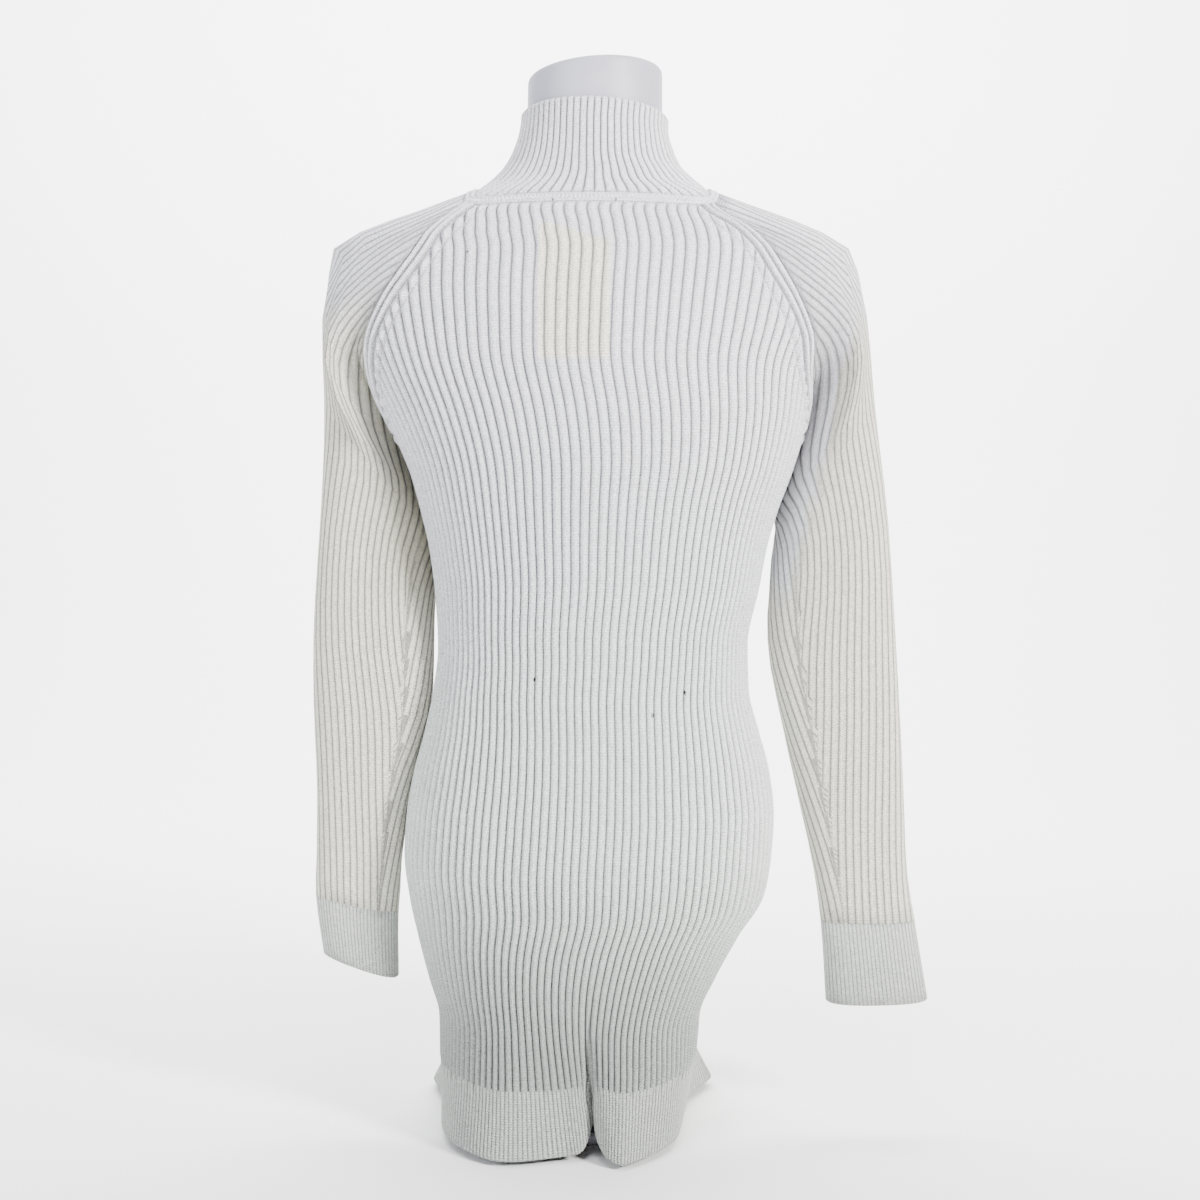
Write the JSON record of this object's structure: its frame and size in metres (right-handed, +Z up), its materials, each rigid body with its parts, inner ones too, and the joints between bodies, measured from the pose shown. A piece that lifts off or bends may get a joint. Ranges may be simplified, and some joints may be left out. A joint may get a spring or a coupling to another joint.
{
  "type": "sweater dress on a dress form",
  "caption": "Long-sleeved rib knit mini dress with a standing collar and raglan sleeves, worn by a limbless dress form",
  "frame": {"origin": "middle of the form's flat foot, on the surface it stands on", "axes": "+Z up; the wearer's front faces +Y and the back faces -Y; +X is the wearer's right"},
  "size_m": [0.5204, 0.2582, 0.9],
  "materials": {
    "rib_knit": "soft matt rib knit",
    "fine_rib_knit": "soft matt fine rib knit",
    "neck_trim": "linked knit seam",
    "form_shell": "smooth satin plastic"
  },
  "bodies": {
    "root": {"back_panel": "rib_knit", "front_panel": "rib_knit", "collar": "rib_knit", "sleeve_left": "rib_knit", "sleeve_right": "rib_knit", "raglan_band_back_left": "rib_knit", "raglan_band_front_left": "rib_knit", "raglan_band_back_right": "rib_knit", "raglan_band_front_right": "rib_knit", "back_hem_band": "fine_rib_knit", "front_hem_band": "fine_rib_knit", "cuff_left": "fine_rib_knit", "cuff_right": "fine_rib_knit", "neck_trim": "neck_trim", "dress_form": "form_shell"}
  },
  "joints": []
}
